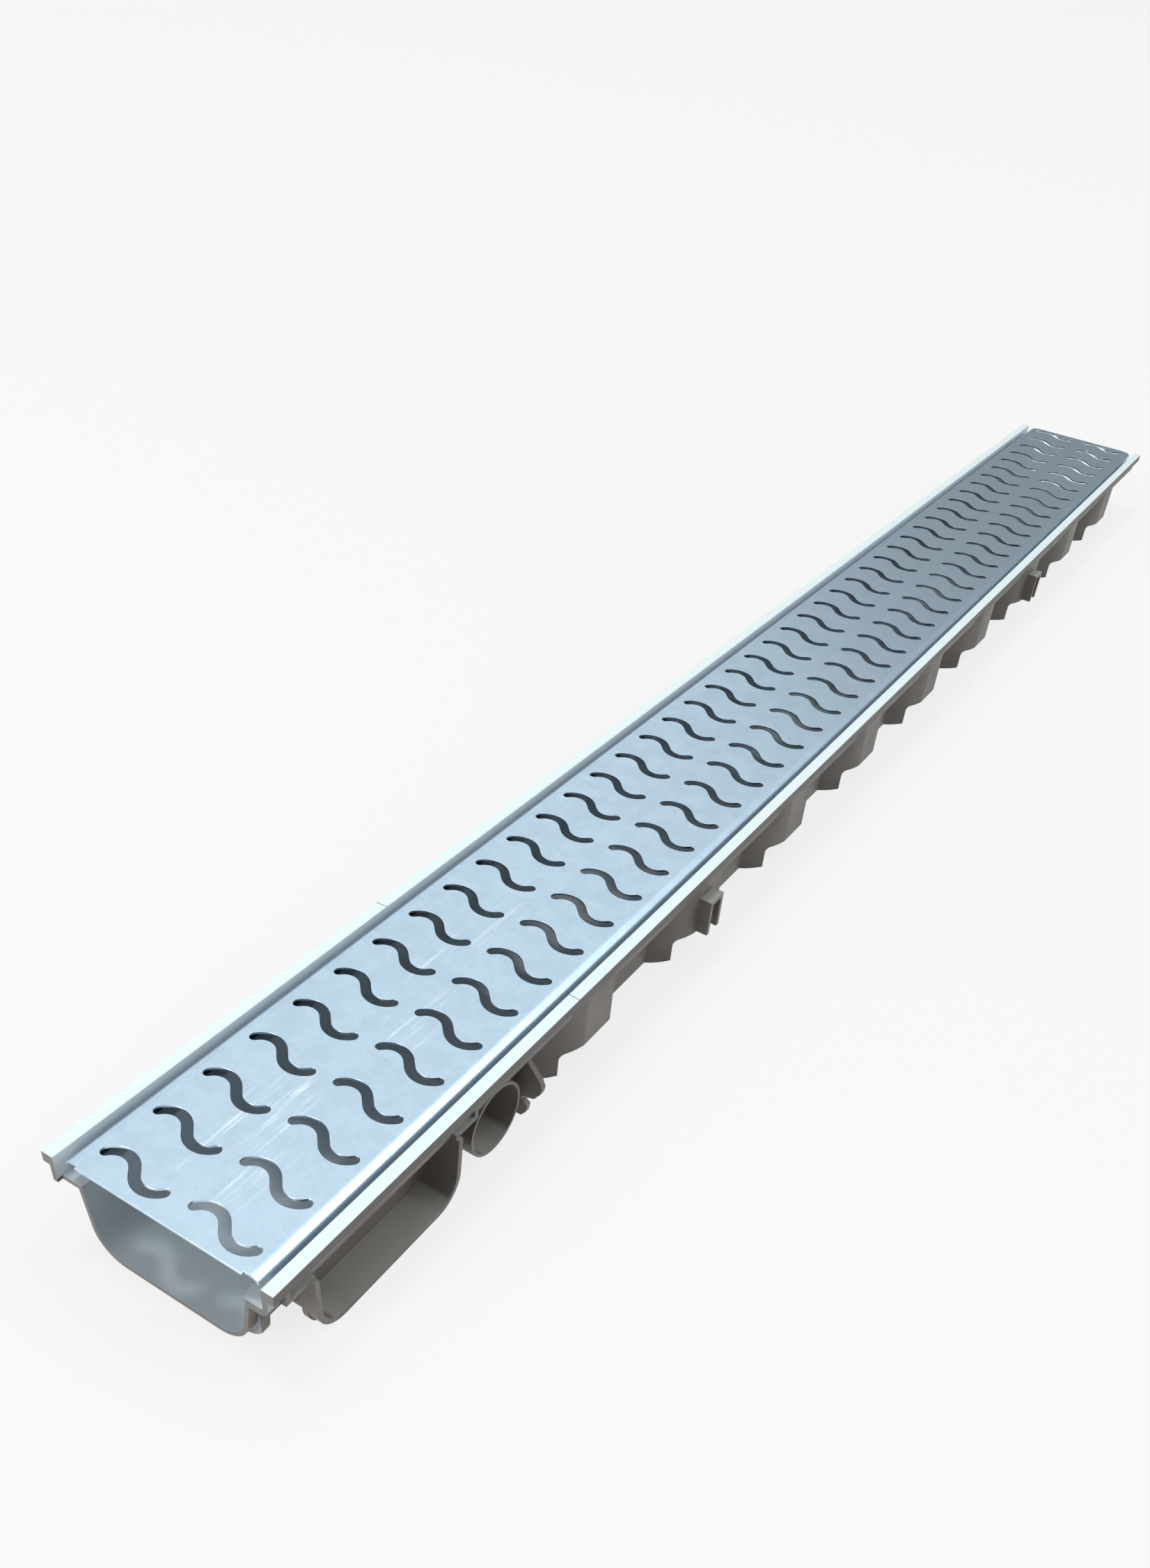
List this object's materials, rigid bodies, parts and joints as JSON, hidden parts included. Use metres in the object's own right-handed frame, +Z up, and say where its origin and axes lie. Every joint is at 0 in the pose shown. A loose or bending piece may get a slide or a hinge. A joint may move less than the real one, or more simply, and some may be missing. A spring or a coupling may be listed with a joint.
{
  "type": "channel drain",
  "caption": "Linear drainage channel: moulded grey channel with corrugated sides, side connectors and a round outlet, covered by a folded steel grate with wave slots.",
  "frame": {"origin": "middle of the seat under the channel's floor", "axes": "+Y along the flow channel, from the end with the side connectors; +Z up through the grate; the round outlet faces +X"},
  "size_m": [0.1084, 1, 0.041],
  "materials": {
    "channel_body": "moulded grey polypropylene",
    "grate": "galvanised sheet, finely scuffed"
  },
  "bodies": {
    "root": {"channel_body": "channel_body", "grate": "grate"}
  },
  "joints": []
}
